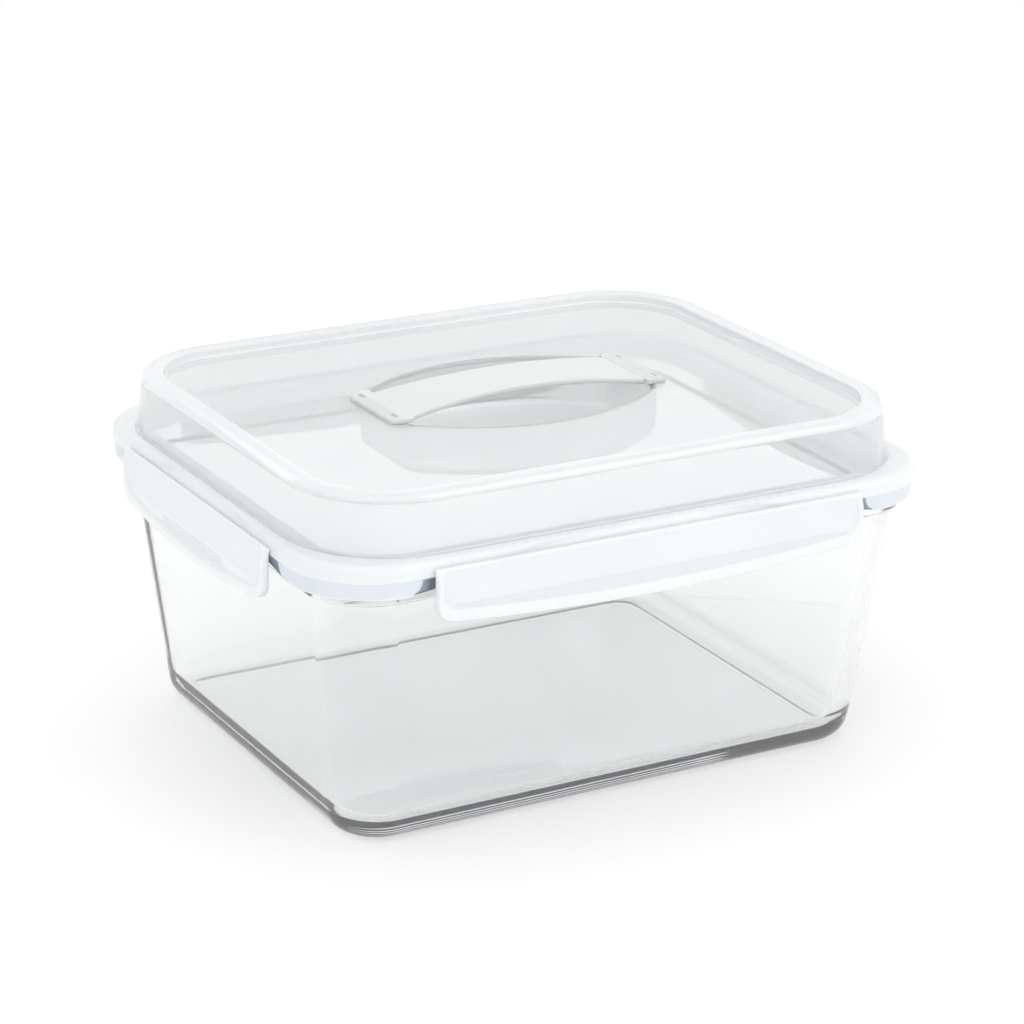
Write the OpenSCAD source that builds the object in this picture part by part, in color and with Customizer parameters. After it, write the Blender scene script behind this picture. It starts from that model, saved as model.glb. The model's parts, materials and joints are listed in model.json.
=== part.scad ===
// Large rectangular glass food storage box with a clear snap-on lid:
// a tapered pressed-glass tub, a domed lid with a carrying strap over a sunk cup,
// a soft seal under the lid's flange and a hinged latch wing on each of the four sides.
// Millimetres, +Z up, origin at the middle of the underside.

/* [Glass tub] */
// Outside length of the tub at its top edge, without the lip
tub_l = 290; // [270:1:320]
// Outside width of the tub at its top edge, without the lip
tub_w = 234; // [214:1:260]
// Height of the tub
tub_h = 129; // [110:1:160]
// Corner radius of the tub at its top edge
tub_corner_r = 30; // [27:0.5:34]
// How far each wall leans in from the top edge to the base
tub_lean = 14.4; // [10:0.2:16]
// Thickness of the glass wall
tub_wall = 5; // [4:0.25:6]
// Thickness of the glass base
tub_base = 8; // [6:0.5:11]
// Radius of the rounded heel between wall and base
heel_r = 12; // [8:0.5:14]
// How far the glass lip stands out past the top of the wall
lip_out = 2; // [1.5:0.1:3]
// Height of the glass lip
lip_h = 13.5; // [11:0.5:16]
// Ease of the glass lip's edges
lip_ease = 1.5; // [1:0.1:2]

/* [Lid] */
// How far the flange stands out past the top of the glass wall
flange_out = 8.2; // [7.6:0.2:11]
// Height of the flat top of the flange above the glass
flange_rise = 6; // [5.5:0.25:8]
// Radius of the flange's rounded top edge
flange_round = 4; // [2.5:0.25:4.5]
// How far the corner skirts hang below the top of the glass
skirt_drop = 9; // [6:0.5:11]
// Radius of the corner skirts' rounded lower ends
skirt_round = 6; // [4:0.5:6.5]
// How far the corner skirts stand in from the flange's edge
skirt_step = 1; // [0.6:0.1:1.2]
// How far the flange's edge reaches below the hinge line
edge_band = 2.7; // [2:0.1:3]
// Wall thickness of the lid
lid_wall = 2.2; // [1.8:0.1:2.5]
// How far the foot of the dome stands out past the top of the glass wall
dome_out = 1.6; // [0.6:0.2:3]
// Corner radius of the dome at its foot
dome_corner_r = 48; // [40:1:54]
// Height of the dome from the flange to its rim
dome_h = 25.6; // [22:0.1:32]
// How far the dome's wall leans in from foot to rim
dome_lean = 2; // [1:0.1:3]
// Width of the raised rim round the top panel
rim_w = 10.3; // [8:0.1:13]
// How far the top panel is sunk below the rim
rim_step = 3.6; // [2.5:0.1:4.5]
// Radius of the rim's rounded outer edge
rim_round = 3.2; // [2.4:0.1:3.4]
// Depth of the plug wall that reaches down inside the glass
plug_drop = 3; // [1.5:0.5:5]
// Gap between the plug wall and the top of the glass wall
plug_gap = 0.8; // [0.6:0.1:1.2]

/* [Seal] */
// Width of the seal
seal_w = 6; // [5:0.1:6.4]
// Height of the seal between glass and lid
seal_h = 3; // [2.6:0.1:3.2]
// Depth of the groove between the seal's two lips
seal_groove = 1; // [0.5:0.1:1.5]
// Gap between the seal and the outer wall of its channel
seal_gap = 0.3; // [0.2:0.05:0.4]
// How far the seal's channel lies inside the edge of the glass lip
channel_inset = 0.5; // [0.3:0.1:0.8]
// Height of the channel's outer wall
channel_wall_h = 2; // [1.5:0.1:2.4]

/* [Handle] */
// Length of the sunk cup under the strap
cup_l = 124.6; // [110:0.2:150]
// Width of the cup across its middle
cup_w = 94; // [80:1:104]
// Width of the cup at its straight ends
cup_end_w = 44; // [40:1:50]
// Radius of the cup's corners in plan
cup_corner_r = 8; // [6:0.5:9]
// Depth of the cup below the top panel
cup_depth = 22.4; // [16:0.2:23]
// Width of the strap at its middle
strap_w = 31; // [24:0.5:36]
// Width of the strap at its ends
strap_end_w = 38; // [36:0.5:40]
// Thickness of the strap
strap_t = 3; // [2.5:0.1:4]
// How far the strap arches up between its ends
strap_rise = 5.6; // [3:0.2:9]
// Gap between the strap's ends and the cup's end walls
strap_gap = 0.3; // [0.2:0.05:0.5]
// Length of the strap's end bars across the lid
bar_l = 44; // [40:0.5:46]
// How far each end bar reaches out over the top panel
bar_w = 8; // [7:0.1:12]
// Height of the end bars above the top panel
bar_h = 2.7; // [2.3:0.1:3.4]
// How far the end bars lap over the strap's ends
bar_lap = 2.5; // [1.5:0.1:4]
// How far the strap's ends lie below the tops of the end bars
strap_step = 0.8; // [0.5:0.1:1.2]

/* [Latches] */
// Distance from the end of the tub to the end of a long latch
latch_inset = 40; // [36:0.5:46]
// Distance from the long side of the tub to the end of a side latch
side_latch_inset = 44; // [40:0.5:48]
// Thickness of a latch wing
latch_t = 2.5; // [2:0.1:3]
// Length of a latch wing below its hinge, at its middle
latch_drop = 27; // [22:0.5:34]
// How much shorter a latch wing is at its ends
latch_bow = 5.8; // [3:0.2:8]
// Radius of the latch's lower corners
latch_corner_r = 8; // [5:0.5:10]
// How far the thick lower lip and the border of a latch stand out
latch_lip_out = 1.2; // [0.8:0.1:2]
// Height of the thick lower lip of a latch
latch_lip_h = 4.5; // [3:0.25:6]
// Width of the raised border at the ends of a latch
latch_border_w = 2.8; // [2:0.1:4]
// Radius of the rolled hinge edge
hinge_r = 1.5; // [1.3:0.1:1.8]
// Gap between the rolled hinge edge and the flange
hinge_gap = 0.4; // [0.3:0.05:0.6]
// Height of the hinge line below the flange's rounded edge
hinge_drop = 0.8; // [0.5:0.1:1.5]
// Gap between the end of a latch and the corner skirt
latch_end_gap = 4.5; // [3:0.25:6]
// Thickness of the catch rib inside a latch
rib_t = 1.5; // [1.2:0.1:2]
// Gap between the catch rib and the glass lip
rib_gap = 0.4; // [0.3:0.05:0.6]
// Gap between the top of the catch rib and the glass lip's lower edge
catch_gap = 0.3; // [0.2:0.05:0.5]
// Length of the two stiff blocks at the ends of the catch rib
block_l = 34; // [24:1:44]
// Height of the stiff blocks
block_h = 5; // [3:0.25:6]
// Thickness of the stiff blocks
block_t = 3; // [2:0.25:4]

/* [Hidden] */
$fn = 96;
// Overlap of cuts, and the small overlap that keeps smoothly joined curves closed
over = 1;
meet = 0.001;

// Corner centres of the tub and of all that follows its outline
tub_core = [tub_l/2 - tub_corner_r, tub_w/2 - tub_corner_r];
tub_slope = tub_lean/tub_h;
lip_r = tub_corner_r + lip_out;
lip_z = tub_h - lip_h;
inner_r = tub_corner_r - tub_wall;

// Heights of the lid
flange_z = tub_h + flange_rise;
flange_r = tub_corner_r + flange_out;
flange_edge_z = flange_z - flange_round;
skirt_in_r = flange_r - skirt_step - lid_wall;
seal_z = tub_h + seal_h;
rim_z = flange_z + dome_h;
panel_z = rim_z - rim_step;

// Corner centres and outline radii of the dome
dome_core = [tub_l/2 + dome_out - dome_corner_r, tub_w/2 + dome_out - dome_corner_r];
dome_top_r = dome_corner_r - dome_lean;
rim_in_r = dome_top_r - rim_w;

// Seal and its channel, as distances from the tub's corner centres
channel_out_r = lip_r - channel_inset;
plug_r = inner_r - plug_gap;
seal_out_r = channel_out_r - seal_gap;

// Round sides of the cup: each is an arc through the middle and the end widths
cup_sag = (cup_w - cup_end_w)/2;
cup_arc_r = (pow(cup_l/2, 2) + pow(cup_sag, 2))/(2*cup_sag);
cup_floor_z = panel_z - cup_depth;
cup_corner_x = cup_l/2 - cup_corner_r;
cup_corner_y = cup_w/2 - cup_arc_r + sqrt(pow(cup_arc_r - cup_corner_r, 2) - pow(cup_corner_x, 2)) + meet;

// Strap: an arch whose top meets the end bars a little below their tops
strap_half = cup_l/2 - strap_gap;
strap_end_z = panel_z + bar_h - strap_step;
strap_arc_r = (pow(strap_half, 2) + pow(strap_rise, 2))/(2*strap_rise);
strap_waist = (strap_end_w - strap_w)/2;
waist_arc_r = (pow(strap_half, 2) + pow(strap_waist, 2))/(2*strap_waist);

// Hinge line of the latches, below the flange's rounded edge
hinge_out = flange_r + hinge_gap + hinge_r;
hinge_z = flange_edge_z - hinge_drop;
latch_inner = hinge_r - latch_t;
rib_tip = lip_r + rib_gap - hinge_out;
rib_z = lip_z - catch_gap - hinge_z;

// Lengths of the latches, from the sides that they close
long_latch_l = tub_l - 2*latch_inset;
side_latch_l = tub_w - 2*side_latch_inset;

// Solid that follows a rounded rectangle: the 2-D child is its half section,
// x outwards from the corner centres and y up
module swept_ring(core) {
    for (side = [0:3]) {
        reach = side % 2 == 0 ? core[0] : core[1];
        run = side % 2 == 0 ? core[1] : core[0];
        rotate([0, 0, 90*side])
            translate([reach, 0, 0])
                rotate([90, 0, 0])
                    linear_extrude(height = 2*run, center = true)
                        children();
        turn = [[1, 1], [-1, 1], [-1, -1], [1, -1]][side];
        translate([turn[0]*core[0], turn[1]*core[1], 0])
            rotate([0, 0, 90*side])
                rotate_extrude(angle = 90)
                    children();
    }
}

// The same, filled in the middle between two heights
module swept_block(core, low, high) {
    swept_ring(core) children();
    translate([-core[0], -core[1], low])
        cube([2*core[0], 2*core[1], high - low]);
}

// Half section of a leaning wall over a flat base with a rounded heel:
// foot is the wall's radius at the base's height, drawn out to the height top
module heel_section(foot, base, top, heel) {
    lean = atan(tub_slope);
    reach = heel*tan((90 - lean)/2);
    centre_x = foot - reach + meet;
    polygon([[0, base], [centre_x, base], [foot + reach*sin(lean), base + reach*cos(lean)],
             [foot + tub_slope*(top - base), top], [0, top]]);
    intersection() {
        translate([centre_x, base + heel])
            circle(r = heel);
        translate([centre_x, base])
            square([heel, 2*heel]);
    }
}

// Wall radius of the tub's outside at a height
function tub_r(z) = tub_corner_r - tub_slope*(tub_h - z);

// Half section of the lip, from the middle of the wall outwards
module lip_section() {
    low = lip_z - 2*lip_ease;
    polygon([[tub_r(low) - tub_wall/2, low], [lip_r, lip_z + lip_ease],
             [lip_r, tub_h - lip_ease/2], [lip_r - lip_ease/2, tub_h],
             [tub_corner_r - tub_wall/2, tub_h]]);
}

module glass_tub() {
    color([0.85, 0.92, 0.92, 0.45])
    difference() {
        union() {
            swept_block(tub_core, 0, tub_h)
                heel_section(tub_r(0), 0, tub_h, heel_r);
            swept_ring(tub_core)
                lip_section();
        }
        swept_block(tub_core, tub_base, tub_h + over)
            heel_section(tub_r(tub_base) - tub_wall, tub_base, tub_h + over, heel_r - tub_wall/2);
    }
}

// Half section of the flange, filled to the middle, with its skirt set in below the edge
module flange_section() {
    low = tub_h - skirt_drop;
    band_z = hinge_z - edge_band;
    translate([0, band_z])
        square([flange_r, flange_edge_z - band_z]);
    translate([0, low])
        square([flange_r - skirt_step, flange_edge_z - low]);
    translate([0, low])
        square([flange_r - flange_round, flange_z - low]);
    translate([flange_r - flange_round, flange_edge_z])
        circle(r = flange_round);
}

// Half section of the dome and its rim, filled to the middle and to the panel's top
module dome_section() {
    round_z = rim_z - rim_round;
    polygon([[0, flange_z - lid_wall], [dome_corner_r, flange_z - lid_wall],
             [dome_corner_r, flange_z], [dome_top_r, round_z],
             [dome_top_r - rim_round, rim_z], [rim_in_r, rim_z],
             [rim_in_r, panel_z], [0, panel_z]]);
    translate([dome_top_r - rim_round, round_z])
        circle(r = rim_round);
}

// Half section of the room under the dome
module dome_room_section() {
    polygon([[0, flange_z - lid_wall - over], [dome_corner_r - lid_wall, flange_z - lid_wall - over],
             [dome_corner_r - lid_wall, flange_z - lid_wall],
             [dome_top_r - lid_wall, rim_z - rim_round],
             [dome_top_r - rim_round, rim_z - lid_wall], [rim_in_r + lid_wall, rim_z - lid_wall],
             [rim_in_r + lid_wall, panel_z - lid_wall], [0, panel_z - lid_wall]]);
}

// Channel that holds the seal, with the plug wall inside the glass
module channel_section() {
    top = flange_z - lid_wall/2;
    polygon([[plug_r - lid_wall, tub_h - plug_drop], [plug_r, tub_h - plug_drop], [plug_r, seal_z],
             [channel_out_r, seal_z], [channel_out_r, seal_z - channel_wall_h],
             [channel_out_r + lid_wall, seal_z - channel_wall_h],
             [channel_out_r + lid_wall, top], [plug_r - lid_wall, top]]);
}

// Plan of the cup, grown outwards by a wall: two arcs that run smoothly
// into the rounded corners of the straight ends
module cup_plan(grow) {
    half = cup_l/2 + grow;
    touch_x = cup_corner_x*(cup_arc_r + grow)/(cup_arc_r - cup_corner_r);
    intersection() {
        translate([0, cup_arc_r - cup_w/2])
            circle(r = cup_arc_r + grow, $fn = 180);
        translate([0, cup_w/2 - cup_arc_r])
            circle(r = cup_arc_r + grow, $fn = 180);
        square([2*touch_x, cup_w + 2*grow], center = true);
    }
    polygon([[-half, -cup_corner_y], [half, -cup_corner_y], [half, cup_corner_y], [-half, cup_corner_y]]);
    for (x = [-1, 1], y = [-1, 1])
        translate([x*cup_corner_x, y*cup_corner_y])
            circle(r = cup_corner_r + grow);
}

// Outline of the gap that a latch needs between two corner skirts, with eased lower ends
module latch_gap_outline(length) {
    half = length/2 + latch_end_gap;
    low = tub_h - skirt_drop;
    top = hinge_z - edge_band;
    ease = min(skirt_round, top - low - over/2);
    translate([-half, low - over])
        square([2*half, top - low + over]);
    for (side = [-1, 1])
        difference() {
            translate([side*(half + ease/2), low + ease/2 - over/2])
                square([ease, ease + over], center = true);
            translate([side*(half + ease), low + ease])
                circle(r = ease);
        }
}

module latch_gaps() {
    depth = flange_out + over;
    for (side = [0:3]) {
        reach = side % 2 == 0 ? tub_l/2 : tub_w/2;
        length = side % 2 == 0 ? side_latch_l : long_latch_l;
        rotate([0, 0, 90*side])
            translate([reach + lip_out, 0, 0])
                rotate([90, 0, 90])
                    linear_extrude(height = depth)
                        latch_gap_outline(length);
    }
}

module lid_shell() {
    color([0.90, 0.92, 0.94, 0.7])
    difference() {
        union() {
            difference() {
                union() {
                    swept_block(tub_core, tub_h - skirt_drop, flange_z)
                        flange_section();
                    swept_block(dome_core, flange_z - lid_wall, panel_z)
                        dome_section();
                }
                swept_block(tub_core, tub_h - skirt_drop - over, flange_z - lid_wall)
                    translate([0, tub_h - skirt_drop - over])
                        square([skirt_in_r, flange_z - lid_wall - tub_h + skirt_drop + over]);
                swept_block(dome_core, flange_z - lid_wall - over, panel_z - lid_wall)
                    dome_room_section();
            }
            swept_ring(tub_core)
                channel_section();
            translate([0, 0, cup_floor_z - lid_wall])
                linear_extrude(height = cup_depth + lid_wall)
                    cup_plan(lid_wall);
        }
        translate([0, 0, cup_floor_z])
            linear_extrude(height = cup_depth + over)
                cup_plan(0);
        latch_gaps();
    }
}

// Soft ring with two lips that press on the glass
module lid_seal() {
    mid = seal_out_r - seal_w/2;
    lip = seal_w/4;
    color([0.80, 0.83, 0.85])
    swept_ring(tub_core)
        polygon([[seal_out_r - seal_w, tub_h], [mid - lip/2, tub_h], [mid, tub_h + seal_groove],
                 [mid + lip/2, tub_h], [seal_out_r, tub_h], [seal_out_r, seal_z],
                 [seal_out_r - seal_w, seal_z]]);
}

// Plan of the strap: waisted between its wider ends
module strap_plan() {
    difference() {
        square([2*strap_half, strap_end_w], center = true);
        for (side = [-1, 1])
            translate([0, side*(strap_w/2 + waist_arc_r)])
                circle(r = waist_arc_r, $fn = 180);
    }
}

module carry_strap() {
    crown_z = strap_end_z + strap_rise;
    color([0.93, 0.94, 0.96, 0.8]) {
        intersection() {
            translate([0, strap_end_w/2, crown_z - strap_arc_r])
                rotate([90, 0, 0])
                    linear_extrude(height = strap_end_w)
                        difference() {
                            circle(r = strap_arc_r, $fn = 360);
                            circle(r = strap_arc_r - strap_t, $fn = 360);
                        }
            translate([0, 0, cup_floor_z])
                linear_extrude(height = crown_z - cup_floor_z + over)
                    strap_plan();
        }
        for (side = [-1, 1])
            translate([side*(cup_l/2 + (bar_w - bar_lap)/2), 0, panel_z + bar_h/2])
                cube([bar_w + bar_lap, bar_l, bar_h], center = true);
    }
}

// Face of a latch wing, x along the hinge and y up from it: a bowed lower edge
// that runs smoothly into rounded corners
module wing_outline(length) {
    half = length/2;
    bow_r = (pow(half, 2) + pow(latch_bow, 2))/(2*latch_bow);
    bow_y = bow_r - latch_drop;
    corner_x = half - latch_corner_r;
    corner_y = bow_y - sqrt(pow(bow_r - latch_corner_r, 2) - pow(corner_x, 2)) - meet;
    touch_x = corner_x*bow_r/(bow_r - latch_corner_r);
    intersection() {
        translate([-touch_x, -latch_drop - over])
            square([2*touch_x, latch_drop + over]);
        translate([0, bow_y])
            circle(r = bow_r, $fn = 720);
    }
    translate([-half, corner_y])
        square([length, -corner_y]);
    for (side = [-1, 1])
        translate([side*corner_x, corner_y])
            circle(r = latch_corner_r);
}

// Raised border along the ends and the lower edge, kept clear of the hinge
module border_outline(length) {
    difference() {
        wing_outline(length);
        translate([0, latch_lip_h])
            wing_outline(length - 2*latch_border_w);
        translate([-length/2 - over, -2*hinge_r])
            square([length + 2*over, 2*hinge_r + over]);
    }
}

// A latch wing at its hinge: x outwards, y along the hinge, z up
module wing(length) {
    half = length/2;
    translate([latch_inner, 0, 0])
        rotate([90, 0, 90])
            linear_extrude(height = latch_t)
                wing_outline(length);
    translate([hinge_r, 0, 0])
        rotate([90, 0, 90])
            linear_extrude(height = latch_lip_out)
                border_outline(length);
    rotate([90, 0, 0])
        cylinder(r = hinge_r, h = length, center = true);
    translate([rib_tip, -half + latch_corner_r, rib_z - rib_t])
        cube([latch_inner - rib_tip, length - 2*latch_corner_r, rib_t]);
    for (side = [-1, 1])
        translate([latch_inner - block_t/2, side*(half - latch_corner_r - block_l/2), rib_z - block_h/2])
            cube([block_t, block_l, block_h], center = true);
}

// Places a wing on one side of the lid: 0 right, 1 rear, 2 left, 3 front
module latch(side) {
    reach = side % 2 == 0 ? tub_core[0] : tub_core[1];
    color([0.92, 0.94, 0.97, 0.8])
    rotate([0, 0, 90*side])
        translate([reach + hinge_out, 0, hinge_z])
            wing(side % 2 == 0 ? side_latch_l : long_latch_l);
}

module right_latch() { latch(0); }
module rear_latch() { latch(1); }
module left_latch() { latch(2); }
module front_latch() { latch(3); }

glass_tub();
lid_shell();
lid_seal();
carry_strap();
front_latch();
rear_latch();
left_latch();
right_latch();
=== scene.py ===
import json
import math

import bmesh
import bpy
from mathutils import Matrix, Vector


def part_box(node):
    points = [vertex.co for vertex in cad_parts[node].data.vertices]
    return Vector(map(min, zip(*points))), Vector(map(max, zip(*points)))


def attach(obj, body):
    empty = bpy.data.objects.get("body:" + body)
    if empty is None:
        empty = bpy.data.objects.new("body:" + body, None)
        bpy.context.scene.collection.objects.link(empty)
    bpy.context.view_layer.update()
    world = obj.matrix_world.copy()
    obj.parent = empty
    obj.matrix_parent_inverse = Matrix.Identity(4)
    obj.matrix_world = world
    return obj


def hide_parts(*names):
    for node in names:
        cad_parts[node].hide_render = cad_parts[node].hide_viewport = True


# Glass storage box with a domed lid, four latch wings and a carrying strap.
# Sizes in the settings are millimetres; meshes are metres in the frame's own axes.

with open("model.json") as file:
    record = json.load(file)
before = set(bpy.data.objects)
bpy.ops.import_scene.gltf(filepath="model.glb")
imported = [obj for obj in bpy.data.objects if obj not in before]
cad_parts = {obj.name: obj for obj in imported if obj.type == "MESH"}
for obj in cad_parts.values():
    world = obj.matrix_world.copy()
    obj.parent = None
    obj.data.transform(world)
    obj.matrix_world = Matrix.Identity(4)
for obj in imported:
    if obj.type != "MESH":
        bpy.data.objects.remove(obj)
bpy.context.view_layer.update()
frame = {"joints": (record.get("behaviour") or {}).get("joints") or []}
mm = 0.001


def boxMm(node):
    low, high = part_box(node)
    return low / mm, high / mm


tubHigh = boxMm("glass_tub")[1]
lidLow, lidHigh = boxMm("lid_shell")
sealLow, sealHigh = boxMm("lid_seal")
strapHigh = boxMm("carry_strap")[1]
hinges = {joint["child"]: Vector(joint["pos_m"])      # metres, by latch
          for joint in frame["joints"] if "pos_m" in joint}
hingeZ = hinges["front_latch"].z


# helpers for meshes

meshing = {"weld": 0.00001, "sliver": 0.000002, "sharp": 40}    # metres, metres, degrees


def meshObject(name, verts, faces=(), edges=()):
    mesh = bpy.data.meshes.new(name)
    mesh.from_pydata([Vector(v) * mm for v in verts], edges, faces)
    obj = bpy.data.objects.new(name, mesh)
    bpy.context.scene.collection.objects.link(obj)
    return obj


def tidyMesh(mesh, sharpAngle=meshing["sharp"]):
    work = bmesh.new()
    work.from_mesh(mesh)
    bmesh.ops.remove_doubles(work, verts=work.verts, dist=meshing["weld"])
    bmesh.ops.dissolve_degenerate(work, edges=work.edges, dist=meshing["sliver"])
    bmesh.ops.recalc_face_normals(work, faces=work.faces)
    work.to_mesh(mesh)
    work.free()
    mesh.shade_smooth()
    mesh.set_sharp_from_angle(angle=math.radians(sharpAngle))


def loft(name, rings, finishes=None):
    # skins closed rings of equal count, a ring of one point is a pole
    verts, starts, faces, slots = [], [], [], []
    for ring in rings:
        starts.append(len(verts))
        verts.extend(ring)
    for i in range(len(rings) - 1):
        low, high = rings[i], rings[i + 1]
        a, b = starts[i], starts[i + 1]
        count = max(len(low), len(high))
        for k in range(count):
            n = (k + 1) % count
            if len(low) == 1:
                faces.append((a, b + k, b + n))
            elif len(high) == 1:
                faces.append((a + k, b, a + n))
            else:
                faces.append((a + k, b + k, b + n, a + n))
            slots.append(finishes[i] if finishes else 0)
    obj = meshObject(name, verts, faces)
    obj.data.polygons.foreach_set("material_index", slots)
    tidyMesh(obj.data)
    return obj


def bakeModifiers(obj):
    graph = bpy.context.evaluated_depsgraph_get()
    mesh = bpy.data.meshes.new_from_object(obj.evaluated_get(graph))
    obj.modifiers.clear()
    obj.data = mesh
    mesh.name = obj.name


def weightNormals(obj):
    # flats keep flat normals beside the small rounds
    weighted = obj.modifiers.new("weighted", "WEIGHTED_NORMAL")
    weighted.keep_sharp = True
    bakeModifiers(obj)


def arc(centre, radius, start, end, steps):
    # points of a round in a section, angles in degrees from outwards, up positive
    found = []
    for i in range(steps + 1):
        angle = math.radians(start + (end - start) * i / steps)
        found.append((centre[0] + radius * math.cos(angle), centre[1] + radius * math.sin(angle)))
    return found


def smooth(share):
    return share * share * (3 - 2 * share)


def easeStep(value, width):
    # 0 to 1 as a value crosses zero, over twice the width
    return smooth(min(1.0, max(0.0, value / width / 2 + 0.5)))


# helpers for node trees

def addNode(tree, kind, values=None, links=None, **settings):
    made = tree.nodes.new(kind)
    for key, value in settings.items():
        setattr(made, key, value)
    for key, value in (values or {}).items():
        made.inputs[key].default_value = value
    for key, source in (links or {}).items():
        tree.links.new(source, made.inputs[key])
    return made


def newGeometryTree(name, inputs):
    tree = bpy.data.node_groups.new(name, "GeometryNodeTree")
    for title, kind in inputs:
        tree.interface.new_socket(title, in_out="INPUT", socket_type="NodeSocket" + kind)
    tree.interface.new_socket("Geometry", in_out="OUTPUT", socket_type="NodeSocketGeometry")
    return tree


def runTree(obj, tree, values):
    modifier = obj.modifiers.new(tree.name, "NODES")
    modifier.node_group = tree
    for item in tree.interface.items_tree:
        if item.in_out == "INPUT" and item.name in values:
            modifier[item.identifier] = values[item.name]
    bakeModifiers(obj)


def srgb(text):
    parts = [int(text[i:i + 2], 16) / 255 for i in (1, 3, 5)]
    return tuple(c / 12.92 if c <= 0.04045 else ((c + 0.055) / 1.055) ** 2.4 for c in parts) + (1.0,)


def newMaterial(name):
    material = bpy.data.materials.new(name)
    material.use_nodes = True
    material.node_tree.nodes.clear()
    return material, material.node_tree


# materials

glassFinish = {
    "tint": "#FDFEFE", "ior": 1.52, "see": 0.95,          # a trace of haze from washing
    "waveMm": 34, "waveDepthMm": 0.05, "waveStrength": 0.35,    # slow waves that the mould leaves
    "polish": (0.0, 0.025),
    "bodyTint": "#B4B5C4", "bodyDensity": 2.5,            # long ways through the glass turn grey
}


def makePressedGlass():
    # soda-lime glass, pressed in a mould and fire polished: clear, slightly wavy, grey only edge on
    material, tree = newMaterial("pressedGlass")
    coords = addNode(tree, "ShaderNodeTexCoord").outputs["Object"]
    wave = addNode(tree, "ShaderNodeTexNoise", {"Scale": 1000 / glassFinish["waveMm"], "Detail": 1.0},
                   {"Vector": coords}).outputs["Fac"]
    bump = addNode(tree, "ShaderNodeBump",
                   {"Strength": glassFinish["waveStrength"], "Distance": glassFinish["waveDepthMm"] * mm},
                   {"Height": wave})
    low, high = glassFinish["polish"]
    polish = addNode(tree, "ShaderNodeMapRange", {"To Min": low, "To Max": high}, {"Value": wave})
    surface = addNode(tree, "ShaderNodeBsdfPrincipled",
                      {"Base Color": srgb(glassFinish["tint"]), "IOR": glassFinish["ior"],
                       "Transmission Weight": glassFinish["see"]},
                      {"Roughness": polish.outputs["Result"], "Normal": bump.outputs["Normal"]})
    body = addNode(tree, "ShaderNodeVolumeAbsorption",
                   {"Color": srgb(glassFinish["bodyTint"]), "Density": glassFinish["bodyDensity"]})
    addNode(tree, "ShaderNodeOutputMaterial",
            links={"Surface": surface.outputs["BSDF"], "Volume": body.outputs["Volume"]})
    return material


plastic = {"ior": 1.49, "flowDetail": 2.0, "flowBend": 0.6, "grainDetail": 2.0, "grainStrength": 0.3}
lidFinish = {
    "name": "clearPolypropylene", "colour": "#F5F7F7", "shade": "#EFF2F2", "see": 0.67,
    "rough": (0.01, 0.04), "grainMm": 16, "grainDepthMm": 0.012, "flowMm": 45,
}
rimFinish = {
    "name": "hazyPolypropylene", "colour": "#FCFDFE", "shade": "#F5F8FA", "see": 0.4,
    "rough": (0.05, 0.1), "grainMm": 16, "grainDepthMm": 0.012, "flowMm": 45,
}
flangeFinish = {
    "name": "frostedPolypropylene", "colour": "#FCFDFE", "shade": "#F5F8FA", "see": 0.3,
    "rough": (0.3, 0.42), "grainMm": 0.9, "grainDepthMm": 0.02, "flowMm": 45,
}
strapFinish = {
    "name": "milkyPolypropyleneStrap", "colour": "#FCFDFD", "shade": "#F6F8F8", "see": 0.3,
    "rough": (0.14, 0.24), "grainMm": 1.1, "grainDepthMm": 0.015, "flowMm": 30,
}
latchFinish = {
    "name": "milkyPolypropyleneLatch", "colour": "#FDFEFE", "shade": "#F7FAFC", "see": 0.16,
    "rough": (0.29, 0.4), "grainMm": 1.1, "grainDepthMm": 0.015, "flowMm": 38,
}
thinFinish = {
    "name": "thinPolypropylene", "colour": "#FAFCFE", "shade": "#F3F7FA", "see": 0.18,
    "rough": (0.29, 0.4), "grainMm": 1.1, "grainDepthMm": 0.015, "flowMm": 38,
    "low": "#EEF3F8", "lowFrom": -16.5, "lowTo": -14.0,    # painted shade: greyer under the rib, from the hinge line, for the dark inside seen through
}
# painted shade: the skirt is greyer and bluer than the flange of the same moulding, standing in for the darker inside
# seen through it
skirtPaintedShadeFinish = {
    "name": "skirtPolypropylenePaintedShade", "colour": "#EAEFF5", "shade": "#E3E9F0", "see": 0.28,
    "rough": (0.29, 0.4), "grainMm": 1.1, "grainDepthMm": 0.015, "flowMm": 38,
}


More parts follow.
